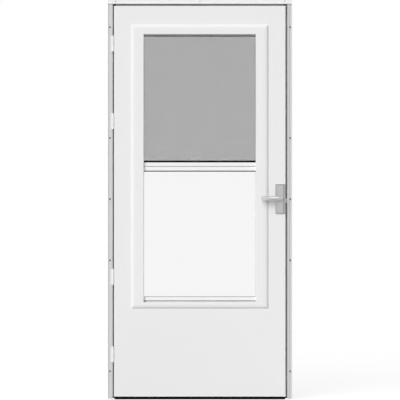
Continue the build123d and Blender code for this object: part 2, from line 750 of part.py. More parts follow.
screen_middle_y = outer_sash_y + SASH_THICKNESS / 2
with BuildPart() as insect_screen:
    slab_of(grown(screen_window, SCREEN_BITE), screen_middle_y, SCREEN_SHEET)
    # A plain grid stands for the weave, with square openings counted across the window.
    (window_left, window_low), (window_right, window_high) = screen_window
    pitch = (window_right - window_left) / SCREEN_COLUMNS
    rows = int((window_high - window_low) / pitch)
    with BuildSketch(facing_out(screen_middle_y + SCREEN_SHEET / 2)) as openings:
        with Locations(((window_left + window_right) / 2, (window_low + window_high) / 2)):
            with GridLocations(pitch, pitch, SCREEN_COLUMNS, rows):
                Rectangle(pitch - SCREEN_STRAND, pitch - SCREEN_STRAND)
    extrude(openings.sketch, amount=SCREEN_SHEET, mode=Mode.SUBTRACT)
finish(insect_screen, "insect_screen")

spline_y = screen_middle_y - SCREEN_SHEET / 2 - SPLINE_DEPTH / 2
with BuildPart() as screen_spline:
    slab_of(screen_window, spline_y, SPLINE_DEPTH)
    slab_of(screen_view, spline_y, SPLINE_DEPTH, mode=Mode.SUBTRACT)
finish(screen_spline, "screen_spline")

# Lower sash in the outer channel, and the vent sash stored behind it in the inner channel

for name, front in (("lower", outer_sash_y), ("vent", inner_sash_y)):
    with BuildPart() as sash_frame:
        panel_frame(sash_outline, sash_window, front, GASKET_BITE, GLASS_THICKNESS + 2 * GASKET_WALL)
    finish(sash_frame, f"{name}_sash_frame")

    with BuildPart() as gasket:
        glazing_gasket(front)
    finish(gasket, f"{name}_glazing_gasket")

    with BuildPart() as glass:
        glass_pane(front)
    finish(glass, f"{name}_glass")

# Latch case in its mortise, with the faceplate on the slab's edge

with BuildPart() as latch_case:
    with BuildSketch(Plane.YZ.offset(case_left + SEAT_CLEARANCE)):
        with Locations((middle_y, bolt_z)):
            Rectangle(CASE_WIDTH, CASE_HEIGHT)
    extrude(amount=CASE_DEPTH - SEAT_CLEARANCE)
    with BuildSketch(Plane.YZ.offset(slab_right - FACEPLATE_THICKNESS)):
        with Locations((middle_y, bolt_z)):
            Rectangle(FACEPLATE_WIDTH, FACEPLATE_HEIGHT)
    extrude(amount=FACEPLATE_THICKNESS)
    with BuildSketch(Plane.YZ.offset(bolt_tail - BOLT_THROW - BOLT_CLEARANCE)):
        with Locations((middle_y, bolt_z)):
            Rectangle(BOLT_WIDTH + 2 * BOLT_CLEARANCE, BOLT_HEIGHT + 2 * BOLT_CLEARANCE)
    extrude(amount=slab_right - bolt_tail + BOLT_THROW + BOLT_CLEARANCE, mode=Mode.SUBTRACT)
    with BuildSketch(facing_out(back_y)):
        with Locations((lever_x, lever_z)):
            Circle(SPINDLE_HOLE_RADIUS)
    extrude(amount=SLAB_THICKNESS, mode=Mode.SUBTRACT)
finish(latch_case, "latch_case")

# Bolt with its sloping face towards the inside, so that it rides over the strike
with BuildPart() as latch_bolt:
    with BuildSketch(Plane.XY.offset(bolt_z - BOLT_HEIGHT / 2)):
        with BuildLine():
            Polyline(
                (bolt_tail, middle_y - BOLT_WIDTH / 2),
                (bolt_tip, middle_y - BOLT_WIDTH / 2),
                (bolt_tip, middle_y - BOLT_WIDTH / 2 + BOLT_FLAT),
                (slab_right, middle_y + BOLT_WIDTH / 2),
                (bolt_tail, middle_y + BOLT_WIDTH / 2),
                close=True,
            )
        make_face()
    extrude(amount=BOLT_HEIGHT)
finish(latch_bolt, "latch_bolt")

# Outside plate: bevelled on all four sides, with a groove beside the narrow bevel

with BuildPart() as outside_plate:
    plate_right = slab_right - OUTSIDE_PLATE_SETBACK
    plate_left = plate_right - OUTSIDE_PLATE_WIDTH
    plate_low = middle_z - OUTSIDE_PLATE_HEIGHT / 2
    plate_high = middle_z + OUTSIDE_PLATE_HEIGHT / 2
    edge_y = face_y - OUTSIDE_PLATE_EDGE
    front_y = edge_y - OUTSIDE_PLATE_BODY
    groove_right = plate_right - PLATE_NARROW_BEVEL
    groove_left = groove_right - PLATE_GROOVE_WIDTH
    with BuildSketch(Plane.XY.offset(plate_low)):
        with BuildLine():
            Polyline(
                (plate_left, face_y),
                (plate_left, edge_y),
                (plate_left + PLATE_WIDE_BEVEL, front_y),
                (groove_left, front_y),
                ((groove_left + groove_right) / 2, front_y + PLATE_GROOVE_DEPTH),
                (groove_right, front_y),
                (plate_right, edge_y),
                (plate_right, face_y),
                close=True,
            )
        make_face()
    extrude(amount=OUTSIDE_PLATE_HEIGHT)
    with BuildSketch(Plane.YZ.offset(plate_left)) as ends:
        with BuildLine():
            Polyline(
                (face_y, plate_low),
                (edge_y, plate_low),
                (front_y, plate_low + PLATE_END_BEVEL),
                (front_y, plate_high - PLATE_END_BEVEL),
                (edge_y, plate_high),
                (face_y, plate_high),
                close=True,
            )
        make_face()
    extrude(ends.sketch, amount=OUTSIDE_PLATE_WIDTH, mode=Mode.INTERSECT)
    with BuildSketch(facing_out(face_y)) as outline:
        with Locations(((plate_left + plate_right) / 2, middle_z)):
            RectangleRounded(OUTSIDE_PLATE_WIDTH, OUTSIDE_PLATE_HEIGHT, PLATE_CORNER)
        with Locations((lever_x, lever_z)):
            Circle(NECK_RADIUS + NECK_CLEARANCE, mode=Mode.SUBTRACT)
    extrude(outline.sketch, amount=face_y - front_y, mode=Mode.INTERSECT)
finish(outside_plate, "outside_plate")

with BuildPart() as inside_plate:
    with BuildSketch(inside_wall):
        RectangleRounded(INSIDE_PLATE_WIDTH, INSIDE_PLATE_HEIGHT, PLATE_CORNER)
    extrude(amount=INSIDE_PLATE_THICKNESS)
    chamfer(faces().sort_by(Axis.Y)[-1].outer_wire().edges(), length=INSIDE_PLATE_CHAMFER)
    with BuildSketch(inside_wall) as neck_hole:
        Circle(NECK_RADIUS + NECK_CLEARANCE)
    extrude(neck_hole.sketch, amount=INSIDE_PLATE_THICKNESS, mode=Mode.SUBTRACT)
finish(inside_plate, "inside_plate")

# Levers: a key slot outside and a thumb turn inside, on one square spindle

with BuildPart() as outside_lever:
    lever_handle(outside_wall)
    boss_front = ARM_STANDOFF + ARM_THICKNESS + KEY_BOSS_RISE
    with BuildSketch(outside_wall.offset(boss_front)) as key_slot:
        SlotOverall(KEY_SLOT_LENGTH, KEY_SLOT_WIDTH)
    extrude(key_slot.sketch, amount=-KEY_SLOT_DEPTH, mode=Mode.SUBTRACT)
finish(outside_lever, "outside_lever")

with BuildPart() as inside_lever:
    lever_handle(inside_wall)
    with BuildSketch(inside_wall.offset(boss_front)) as thumb_turn:
        SlotOverall(TURN_LENGTH, TURN_WIDTH)
    extrude(thumb_turn.sketch, amount=TURN_RISE)
finish(inside_lever, "inside_lever")

with BuildPart() as spindle:
    with BuildSketch(outside_wall.offset(NECK_START + SPINDLE_ENTRY)):
        Rectangle(SPINDLE_SIDE, SPINDLE_SIDE)
    extrude(amount=-(SLAB_THICKNESS + 2 * (NECK_START + SPINDLE_ENTRY)))
finish(spindle, "spindle")
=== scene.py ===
# Storm door: finishes for the CAD nodes, its small fasteners, the insect screen's wires, and the stage.

import json
import math

import bmesh
import bpy
from mathutils import Matrix, Vector


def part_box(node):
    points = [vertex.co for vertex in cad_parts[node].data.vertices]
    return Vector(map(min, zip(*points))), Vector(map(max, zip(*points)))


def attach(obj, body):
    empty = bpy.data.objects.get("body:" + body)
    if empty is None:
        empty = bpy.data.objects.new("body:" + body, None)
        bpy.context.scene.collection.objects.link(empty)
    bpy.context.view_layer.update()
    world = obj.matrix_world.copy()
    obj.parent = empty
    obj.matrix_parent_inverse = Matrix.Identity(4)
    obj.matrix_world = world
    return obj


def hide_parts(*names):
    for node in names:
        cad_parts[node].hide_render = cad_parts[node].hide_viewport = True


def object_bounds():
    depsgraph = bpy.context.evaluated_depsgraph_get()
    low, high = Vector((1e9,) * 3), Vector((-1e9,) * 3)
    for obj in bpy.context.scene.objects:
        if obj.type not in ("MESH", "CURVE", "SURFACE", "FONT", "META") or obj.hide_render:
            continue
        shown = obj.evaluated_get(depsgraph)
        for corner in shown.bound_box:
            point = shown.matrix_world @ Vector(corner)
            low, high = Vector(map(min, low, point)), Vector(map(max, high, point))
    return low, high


bl_info = {
    "name": "Storm Door",
    "version": (1, 0, 0),
    "blender": (4, 5, 0),
    "location": "View3D > Sidebar > Storm Door",
    "description": "Finishes, fasteners and insect screen of a self-storing storm door",
    "category": "Object",
}

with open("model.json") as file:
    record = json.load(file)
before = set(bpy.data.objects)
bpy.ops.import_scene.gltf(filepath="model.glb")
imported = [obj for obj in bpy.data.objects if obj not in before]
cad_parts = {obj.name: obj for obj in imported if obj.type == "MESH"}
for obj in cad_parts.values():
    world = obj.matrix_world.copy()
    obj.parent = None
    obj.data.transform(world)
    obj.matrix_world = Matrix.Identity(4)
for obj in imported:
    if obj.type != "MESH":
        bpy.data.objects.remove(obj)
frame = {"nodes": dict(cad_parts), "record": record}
cad_low, cad_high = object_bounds()

MM = 0.001
INCH = 25.4 * MM

# Turns that take a fastener's own +Z to the way its head faces
FACING_OUTSIDE = Matrix.Rotation(math.pi / 2, 4, "X")
FACING_INSIDE = Matrix.Rotation(-math.pi / 2, 4, "X")
FACING_HINGES = Matrix.Rotation(-math.pi / 2, 4, "Y")
FACING_LATCH = Matrix.Rotation(math.pi / 2, 4, "Y")

# A screw head starts this far below its plate or flange, so that no gap shows round it.
PLATE_SINK = 0.6 * MM
FLANGE_SINK = 0.8 * MM

# Outline of a screw head above its seat, in shares of its rise and of its radius
HEAD_OUTLINE = ((0.0, 1.0), (0.55, 0.93), (1.0, 0.74))

# Outline of a button from the middle of its seat to the top of its dome, in shares of radius and rise
BUTTON_OUTLINE = ((0.0, 0.0), (1.0, 0.0), (0.96, 0.35), (0.8, 0.75), (0.45, 0.95), (0.0, 1.0))

# Edges that turn more than this stay sharp.
SHARP_EDGE = math.radians(32)

# The photograph is square, and the camera's film is a common 36 mm wide.
PHOTO_PIXELS = 400
FILM_WIDTH = 36.0

# Ways in which the light of the two lamps travels: down a little, and from the left of each side
OUTSIDE_LAMP_WAY = (0.55, 1.0, -0.6)
INSIDE_LAMP_WAY = (-0.55, -1.0, -0.6)


def linear(code):
    """Linear colour of an sRGB hex code."""
    parts = [int(code[place : place + 2], 16) / 255 for place in (1, 3, 5)]
    return [c / 12.92 if c <= 0.04045 else ((c + 0.055) / 1.055) ** 2.4 for c in parts] + [1.0]


class FinishSettings(bpy.types.PropertyGroup):
    slab_white: bpy.props.FloatVectorProperty(
        name="Slab white",
        description="Enamel of the slab, its carrier, the header and the hinge leaves",
        default=linear("#ECECEC"),
        size=4,
        subtype="COLOR",
    )
    vinyl_white: bpy.props.FloatVectorProperty(
        name="Vinyl white",
        description="Vinyl of the moulding, the tracks, the window's head and the retainer",
        default=linear("#EEEEEE"),
        size=4,
        subtype="COLOR",
    )
    # The sill's grey is painted shade: the shade under the lower sash, laid into the vinyl's colour
    sill_painted_shade_grey: bpy.props.FloatVectorProperty(
        name="Sill white",
        description="Vinyl of the window's sill, greyed with painted shade under the sash",
        default=linear("#D0D0D0"),
        size=4,
        subtype="COLOR",
    )
    sash_white: bpy.props.FloatVectorProperty(
        name="Sash white",
        description="Powder coat of the sashes and the screen's frame",
        default=linear("#F4F4F4"),
        size=4,
        subtype="COLOR",
    )
    # The side bars' grey is painted shade, laid into the colour of the header's white powder coat
    side_bar_painted_shade_grey: bpy.props.FloatVectorProperty(
        name="Side bar white",
        description="Powder coat of the two side Z-bars",
        default=linear("#CDCDCD"),
        size=4,
        subtype="COLOR",
    )
    nickel: bpy.props.FloatVectorProperty(
        name="Satin nickel",
        description="Brushed metal of the levers and their plates",
        default=linear("#AEAEAE"),
        size=4,
        subtype="COLOR",
    )
    zinc: bpy.props.FloatVectorProperty(
        name="Zinc plate",
        description="Plated steel of the latch, the strike and the hinge pins",
        default=linear("#A9ABAD"),
        size=4,
        subtype="COLOR",
    )
    screw_grey: bpy.props.FloatVectorProperty(
        name="Screw grey",
        description="Phosphated steel of the side bars' screws",
        default=linear("#5C5C5C"),
        size=4,
        subtype="COLOR",
    )
    rubber: bpy.props.FloatVectorProperty(
        name="Sweep rubber",
        description="Rubber of the bottom sweep and the screen's spline",
        default=linear("#0E0E0F"),
        size=4,
        subtype="COLOR",
    )
    seal: bpy.props.FloatVectorProperty(
        name="Foam seal",
        description="Foam of the weatherstrip and the meeting seal",
        default=linear("#0E0E0E"),
        size=4,
        subtype="COLOR",
    )
    gasket: bpy.props.FloatVectorProperty(
        name="Glazing gasket",
        description="Soft vinyl of the gaskets round the glass",
        default=linear("#161616"),
        size=4,
        subtype="COLOR",
    )
    charcoal: bpy.props.FloatVectorProperty(
        name="Screen charcoal",
        description="Coated yarn of the insect screen",
        default=linear("#2A2B2C"),
        size=4,
        subtype="COLOR",
    )


class FastenerSettings(bpy.types.PropertyGroup):
    pan_width: bpy.props.FloatProperty(
        name="Pan head width",
        description="Width of the frame screws' pan heads",
        default=8.6 * MM,
        subtype="DISTANCE",
        unit="LENGTH",
    )
    pan_rise: bpy.props.FloatProperty(
        name="Pan head rise",
        description="How far a pan head stands above the flange",
        default=1.4 * MM,
        subtype="DISTANCE",
        unit="LENGTH",
    )
    flat_width: bpy.props.FloatProperty(
        name="Flat head width",
        description="Width of the countersunk heads on the hinge leaves, the faceplate and the strike",
        default=6.4 * MM,
        subtype="DISTANCE",
        unit="LENGTH",
    )
    flat_rise: bpy.props.FloatProperty(
        name="Flat head rise",
        description="How far a countersunk head stands above its plate",
        default=0.3 * MM,
        subtype="DISTANCE",
        unit="LENGTH",
    )
    oval_width: bpy.props.FloatProperty(
        name="Oval head width",
        description="Width of the raised heads on the inside plate",
        default=7.0 * MM,
        subtype="DISTANCE",
        unit="LENGTH",
    )
    oval_rise: bpy.props.FloatProperty(
        name="Oval head rise",
        description="How far a raised head stands above the inside plate",
        default=1.2 * MM,
        subtype="DISTANCE",
        unit="LENGTH",
    )
    rivet_width: bpy.props.FloatProperty(
        name="Rivet width",
        description="Width of the jamb leaves' rivet heads",
        default=5.0 * MM,
        subtype="DISTANCE",
        unit="LENGTH",
    )
    rivet_rise: bpy.props.FloatProperty(
        name="Rivet rise",
        description="How far a rivet head stands above its leaf",
        default=1.2 * MM,
        subtype="DISTANCE",
        unit="LENGTH",
    )
    hinge_spacing: bpy.props.FloatProperty(
        name="Hinge hole spacing",
        description="Distance between the three fasteners of a hinge leaf",
        default=28.0 * MM,
        subtype="DISTANCE",
        unit="LENGTH",
    )
    cap_width: bpy.props.FloatProperty(
        name="Screw cap width",
        description="Width of the caps round the inside retainer",
        default=11.0 * MM,
        subtype="DISTANCE",
        unit="LENGTH",
    )
    cap_rise: bpy.props.FloatProperty(
        name="Screw cap rise",
        description="How far a cap stands above the retainer",
        default=2.0 * MM,
        subtype="DISTANCE",
        unit="LENGTH",
    )
    segments: bpy.props.IntProperty(
        name="Round segments",
        description="Sides of a round head",
        default=24,
        min=8,
    )


class WindowSettings(bpy.types.PropertyGroup):
    latch_inset: bpy.props.FloatProperty(
        name="Sash latch inset",
        description="From a sash's end to the middle of its latch",
        default=60.0 * MM,
        subtype="DISTANCE",
        unit="LENGTH",
    )
    latch_width: bpy.props.FloatProperty(
        name="Sash latch width",
        description="Width of a sash latch's base",
        default=34.0 * MM,
        subtype="DISTANCE",
        unit="LENGTH",
    )
    wire: bpy.props.FloatProperty(
        name="Wire width",
        description="Width of a screen wire as drawn",
        default=0.575 * MM,
        precision=5,
        subtype="DISTANCE",
        unit="LENGTH",
    )
    yarn: bpy.props.FloatProperty(
        name="Yarn thickness",
        description="Thickness of the screen's yarn from front to back",
        default=0.28 * MM,
        precision=5,
        subtype="DISTANCE",
        unit="LENGTH",
    )
    upright_pitch: bpy.props.FloatProperty(
        name="Upright wire pitch",
        description="Spacing of the upright wires, 18 to the inch",
        default=INCH / 18,
        precision=5,
        subtype="DISTANCE",
        unit="LENGTH",
    )
    level_pitch: bpy.props.FloatProperty(
        name="Level wire pitch",
        description="Spacing of the level wires, 16 to the inch",
        default=INCH / 16,
        precision=5,
        subtype="DISTANCE",
        unit="LENGTH",
    )


class StageSettings(bpy.types.PropertyGroup):
    pixel_size: bpy.props.FloatProperty(
        name="Pixel size",
        description="Size on the door's face of one pixel of the photograph",
        default=5.087 * MM,
        precision=5,
        subtype="DISTANCE",
        unit="LENGTH",
    )
    centre_x: bpy.props.FloatProperty(
        name="Centre X",
        description="Place across the door of the middle of the photograph",
        default=0.458,
        precision=4,
        subtype="DISTANCE",
        unit="LENGTH",
    )
    centre_z: bpy.props.FloatProperty(
        name="Centre Z",
        description="Height of the middle of the photograph",
        default=1.0103,
        precision=4,
        subtype="DISTANCE",
        unit="LENGTH",
    )
    distance: bpy.props.FloatProperty(
        name="Camera distance",
        description="From the door's face to the camera",
        default=11.0,
        subtype="DISTANCE",
        unit="LENGTH",
    )
    ambient: bpy.props.FloatProperty(
        name="Ambient share",
        description="Share of the light that comes evenly from all round",
        default=0.26,
        subtype="FACTOR",
        min=0.0,
        max=1.0,
    )
    lamps: bpy.props.FloatProperty(
        name="Lamp share",
        description="Share of the light that comes from the lamp on each side",
        default=0.66,
        subtype="FACTOR",
        min=0.0,
        max=1.0,
    )
    softness: bpy.props.FloatProperty(
        name="Lamp softness",
        description="Apparent width of each lamp",
        default=math.radians(50),
        subtype="ANGLE",
        unit="ROTATION",
    )


def add_node(tree, kind, settings=None, inputs=None):
    """Add a shader node with its settings; its inputs, by name or number, are values or other sockets."""
    node = tree.nodes.new(kind)
    for name, value in (settings or {}).items():
        setattr(node, name, value)
    for name, value in (inputs or {}).items():
        socket = node.inputs[name]
        if isinstance(value, bpy.types.NodeSocket):
            tree.links.new(value, socket)
        else:
            socket.default_value = value
    return node


def blank_material(name):
    """Empty node material and its tree."""
    material = bpy.data.materials.new(name)
    material.use_nodes = True
    material.node_tree.nodes.clear()
    return material, material.node_tree


def opaque_finish(
    name, colour, roughness, metallic=0.0, sheen=0.5, grain=0.0, grain_size=1.0, stretch=(1.0, 1.0, 1.0)
):
    """Opaque finish with a relief of this grain, its size in millimetres and its stretch by axis."""
    material, tree = blank_material(name)
    place = add_node(tree, "ShaderNodeTexCoord")
    stretched = add_node(
        tree,
        "ShaderNodeMapping",
        inputs={"Vector": place.outputs["Object"], "Scale": stretch},
    )
    noise = add_node(
        tree,
        "ShaderNodeTexNoise",
        inputs={"Vector": stretched.outputs["Vector"], "Scale": 1.0 / (grain_size * MM), "Detail": 2.0},
    )
    relief = add_node(
        tree,
        "ShaderNodeBump",
        inputs={"Strength": grain, "Distance": 0.1 * MM, "Height": noise.outputs["Fac"]},
    )
    shader = add_node(
        tree,
        "ShaderNodeBsdfPrincipled",
        inputs={
            "Base Color": colour,
            "Roughness": roughness,
            "Metallic": metallic,
            "Specular IOR Level": sheen,
            "Normal": relief.outputs["Normal"],
        },
    )
    add_node(tree, "ShaderNodeOutputMaterial", inputs={"Surface": shader.outputs["BSDF"]})
    return material


def clear_glass(name):
    """Clear float glass: seen straight through, with a reflection that grows towards the edges."""
    material, tree = blank_material(name)
    through = add_node(tree, "ShaderNodeBsdfTransparent", inputs={"Color": (0.98, 0.982, 0.98, 1.0)})
    mirror = add_node(tree, "ShaderNodeBsdfGlossy", inputs={"Roughness": 0.02})
    slant = add_node(tree, "ShaderNodeFresnel", inputs={"IOR": 1.45})
    # Each pane reflects at the face that a look meets first, and its far face lets everything out.
    side = add_node(tree, "ShaderNodeNewGeometry")
    near_face = add_node(
        tree,
        "ShaderNodeMath",
        {"operation": "SUBTRACT"},
        {0: 1.0, 1: side.outputs["Backfacing"]},
    )
    gloss = add_node(
        tree,
        "ShaderNodeMath",
        {"operation": "MULTIPLY"},
        {0: slant.outputs["Fac"], 1: near_face.outputs["Value"]},
    )
    glass = add_node(
        tree,
        "ShaderNodeMixShader",
        inputs={0: gloss.outputs["Value"], 1: through.outputs["BSDF"], 2: mirror.outputs["BSDF"]},
    )
    add_node(tree, "ShaderNodeOutputMaterial", inputs={"Surface": glass.outputs["Shader"]})
    return material


def seen_directly(tree):
    """Socket that is 1 where the camera, a reflection or a view through glass meets this place."""
    path = add_node(tree, "ShaderNodeLightPath")
    camera_or_metal = add_node(
        tree,
        "ShaderNodeMath",
        {"operation": "MAXIMUM"},
        {0: path.outputs["Is Camera Ray"], 1: path.outputs["Is Glossy Ray"]},
    )
    seen = add_node(
        tree,
        "ShaderNodeMath",
        {"operation": "MAXIMUM"},
        {0: camera_or_metal.outputs["Value"], 1: path.outputs["Is Transmission Ray"]},
    )
    return seen.outputs["Value"]


def coat(material, *names):
    """Put a finish on these CAD nodes."""
    for name in names:
        for slot in frame["nodes"][name].material_slots:
            slot.material = material


def numbered(name):
    """Names of the four hinges' pieces of this kind."""
    return [f"{name}_{number}" for number in range(1, 5)]


def spread(first, last, count):
    """Even places from the first to the last."""
    return [first + (last - first) * step / (count - 1) for step in range(count)]


def add_piece(name, bm, finish, body):
    """Scene piece from a finished bmesh, with its finish, moving with a CAD body."""
    bmesh.ops.recalc_face_normals(bm, faces=bm.faces)
    for face in bm.faces:
        face.smooth = True
    for edge in bm.edges:
        edge.smooth = edge.calc_face_angle(0.0) < SHARP_EDGE
    mesh = bpy.data.meshes.new(name)
    bm.to_mesh(mesh)
    bm.free()
    mesh.materials.append(bpy.data.materials[finish])
    piece = bpy.data.objects.new(name, mesh)
    bpy.context.scene.collection.objects.link(piece)
    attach(piece, body)
    return piece


def depth_at(node, x, z):
    """Depth at which a straight look from outside meets this CAD node."""
    hit, place, _, _ = frame["nodes"][node].ray_cast(Vector((x, -1.0, z)), Vector((0, 1, 0)))
    if not hit:
        raise ValueError(f"no face of {node} at {x:.4f}, {z:.4f}")
    return place.y


def seat_fastener(bm, shape, seat, facing):
    """Add a copy of a finished shape, its own origin on the seat and its +Z turned outwards."""
    before = set(bm.verts)
    bm.from_mesh(shape)
    added = [vert for vert in bm.verts if vert not in before]
    bmesh.ops.transform(bm, matrix=Matrix.Translation(seat) @ facing, verts=added)


def finished_shape(name, bm):
    """Mesh of a finished shape, to be put in several places."""
    shape = bpy.data.meshes.new(name)
    bm.to_mesh(shape)
    bm.free()
    return shape


def draw_out(bm, faces, move, share, keep=False):
    """Extrude faces along Z, scale what is new, and drop the old faces unless they close the shape."""
    extruded = bmesh.ops.extrude_face_region(bm, geom=faces)["geom"]
    verts = [item for item in extruded if isinstance(item, bmesh.types.BMVert)]
    bmesh.ops.translate(bm, vec=(0, 0, move), verts=verts)
    bmesh.ops.scale(bm, vec=(share, share, 1.0), verts=verts)
    left = [face for face in faces if face.is_valid]
    if left and not keep:
        bmesh.ops.delete(bm, geom=left, context="FACES")


def screw_shape(name, width, rise, skirt, segments):
    """Cross-recess head: a skirt below its seat, a rounded shoulder and a flat crown."""
    bm = bmesh.new()
    radius = width / 2
    foot = Matrix.Translation((0, 0, -skirt))
    bmesh.ops.create_circle(bm, cap_ends=True, radius=radius, segments=segments, matrix=foot)
    level, share = -skirt, 1.0
    for up, across in HEAD_OUTLINE:
        top = max(bm.faces, key=lambda face: face.calc_center_median().z)
        draw_out(bm, [top], rise * up - level, across / share, keep=len(bm.faces) == 1)
        level, share = rise * up, across

    # Cross recess: the crown is cut along the cross's sides, and the cross is pushed in and narrowed.
    crown_level = rise - 0.001 * MM
    arm_width, arm_reach = radius * 0.12, radius * 0.58
    for axis in ((1, 0, 0), (0, 1, 0)):
        for offset in (-arm_reach, -arm_width, arm_width, arm_reach):
            crown = [face for face in bm.faces if face.calc_center_median().z > crown_level]
            edges = {edge for face in crown for edge in face.edges}
            verts = {vert for face in crown for vert in face.verts}
            bmesh.ops.bisect_plane(
                bm, geom=[*crown, *edges, *verts], plane_co=Vector(axis) * offset, plane_no=axis
            )
    cross = []
    for face in bm.faces:
        middle = face.calc_center_median()
        short, long = sorted((abs(middle.x), abs(middle.y)))
        if middle.z >= crown_level and short < arm_width and long < arm_reach:
            cross.append(face)
    recess = min(rise + skirt, 1.5 * MM) * 0.7
    draw_out(bm, cross, -recess, 0.72)
    return finished_shape(name, bm)


def button_shape(name, width, rise, segments):
    """Plain domed button: its outline spun round its middle, closed underneath."""
    bm = bmesh.new()
    verts = [bm.verts.new((width / 2 * across, 0, rise * up)) for across, up in BUTTON_OUTLINE]
    edges = [bm.edges.new(pair) for pair in zip(verts, verts[1:])]
    bmesh.ops.spin(
        bm,
        geom=[*verts, *edges],
        cent=(0, 0, 0),
        axis=(0, 0, 1),
        angle=math.tau,
        steps=segments,
        use_merge=True,
    )
    bmesh.ops.remove_doubles(bm, verts=bm.verts, dist=0.001 * MM)
    return finished_shape(name, bm)


def add_bar(bm, low, high):
    """Straight bar between two corners; returns its vertices."""
    size = [high[axis] - low[axis] for axis in range(3)]
    middle = [(high[axis] + low[axis]) / 2 for axis in range(3)]
    place = Matrix.Translation(middle) @ Matrix.Diagonal((*size, 1.0))
    return bmesh.ops.create_cube(bm, size=1.0, matrix=place)["verts"]


class STORMDOOR_OT_finishes(bpy.types.Operator):
    """Give every CAD piece its finish"""

    bl_idname = "storm_door.finishes"
    bl_label = "Finishes"

    def execute(self, context):
        colours = context.scene.storm_finishes
        # Baked enamel on an aluminium skin: soft gloss over a faint orange peel about 3 mm across
        slab = opaque_finish("baked white enamel", colours.slab_white, 0.5, grain=0.1, grain_size=3.0)
        # Extruded vinyl: an even, slightly waxy white with hardly visible waves about 6 mm long
        vinyl = opaque_finish(
            "extruded white vinyl", colours.vinyl_white, 0.65, grain=0.04, grain_size=6.0
        )
        # The same vinyl on the sill, greyed to paint in the shade that falls under the sash, with marks of
        # about 4 mm in its relief
        sill = opaque_finish("white vinyl greyed with painted shade", colours.sill_painted_shade_grey, 0.6, grain=0.1, grain_size=4.0)
        # Powder coat: a duller white with a fine orange peel about 1.5 mm across
        sash = opaque_finish(
            "white powder coat on the sashes", colours.sash_white, 0.4, grain=0.06, grain_size=1.5
        )
        header = opaque_finish(
            "white powder coat on the header", colours.slab_white, 0.45, grain=0.08, grain_size=1.5
        )
        # The same coat on the side bars, greyed a shade: painted shade standing in for the shade in the
        # bars' hollow
        side_bars = opaque_finish(
            "white powder coat greyed with painted shade", colours.side_bar_painted_shade_grey, 0.45, grain=0.08, grain_size=1.5
        )
        # Satin nickel: soft grey metal, brushed along the lever. Real strokes are about 0.05 mm wide,
        # too fine to show, so they are drawn at 0.4 mm.
        nickel = opaque_finish(
            "brushed satin nickel",
            colours.nickel,
            0.3,
            metallic=1.0,
            grain=0.12,
            grain_size=0.4,
            stretch=(0.04, 1, 1),
        )
        # Zinc plate: cool grey metal with a faint mottle of about 2 mm
        zinc = opaque_finish(
            "zinc plated steel", colours.zinc, 0.38, metallic=1.0, grain=0.1, grain_size=2.0
        )
        # Phosphated steel: dull mid grey with crystals that read as a 1 mm mottle, on screws alone
        opaque_finish(
            "grey phosphated screw", colours.screw_grey, 0.5, metallic=1.0, grain=0.1, grain_size=1.0
        )
        # Extruded rubber: matt black with a powdery bloom in 1 mm patches and hardly any sheen
        rubber = opaque_finish(
            "black sweep rubber", colours.rubber, 0.85, sheen=0.15, grain=0.3, grain_size=1.0
        )
        # Foam seal: matt black with open cells about 0.8 mm across
        seal = opaque_finish("black foam seal", colours.seal, 0.9, grain=0.5, grain_size=0.8)
        # Soft vinyl with a bloom in 1 mm patches: matt, nearly black
        gasket = opaque_finish(
            "black glazing gasket", colours.gasket, 0.8, sheen=0.15, grain=0.1, grain_size=1.0
        )
        # Vinyl-coated glass yarn: matt charcoal
        yarn = opaque_finish("charcoal screen yarn", colours.charcoal, 0.65)
        glass = clear_glass("clear float glass")

        coat(slab, "door_slab", "sweep_carrier")
        coat(vinyl, "window_moulding", "inside_retainer", "window_head")
        coat(vinyl, "hinge_side_track", "latch_side_track")
        coat(sill, "window_sill")
        coat(sash, "screen_frame", "lower_sash_frame", "vent_sash_frame")
        coat(side_bars, "hinge_side_z_bar", "latch_side_z_bar")
        coat(header, "header_z_bar", *numbered("jamb_hinge_leaf"), *numbered("door_hinge_leaf"))
        coat(zinc, "strike_plate", "latch_case", "latch_bolt", "spindle", *numbered("hinge_pin"))
        coat(nickel, "outside_plate", "inside_plate", "outside_lever", "inside_lever")
        coat(rubber, "bottom_sweep", "screen_spline")
        coat(seal, "hinge_side_weatherstrip", "latch_side_weatherstrip", "header_weatherstrip")
        coat(gasket, "lower_glazing_gasket", "vent_glazing_gasket")
        coat(yarn, "insect_screen")
        coat(glass, "lower_glass", "vent_glass")
        return {"FINISHED"}


class STORMDOOR_OT_frame_screws(bpy.types.Operator):
    """Screw the frame's flanges down with pan heads in their holes"""

    bl_idname = "storm_door.frame_screws"
    bl_label = "Frame screws"

    def execute(self, context):
        sizes = context.scene.storm_fasteners
        side_heads = bmesh.new()
        header_heads = bmesh.new()
        for node, x, z in frame_screw_places():
            # The flange is hollow, so a head reaches down to its low side and stands above its high one.
            sides = [depth_at(node, x + side * sizes.pan_width / 2, z) for side in (-1, 1)]
            skirt = max(sides) - min(sides) + FLANGE_SINK
            head = screw_shape("pan head", sizes.pan_width, sizes.pan_rise, skirt, sizes.segments)
            heads = header_heads if node == "header_z_bar" else side_heads
            seat_fastener(heads, head, Vector((x, min(sides), z)), FACING_OUTSIDE)
            bpy.data.meshes.remove(head)
        add_piece("side_bar_screws", side_heads, "grey phosphated screw", "frame")
        # The header's screws take the side bars' greyed coat: painted shade that tells them from the
        # header.
        header_finish = "white powder coat greyed with painted shade"
        add_piece("header_screws", header_heads, header_finish, "frame")
        return {"FINISHED"}


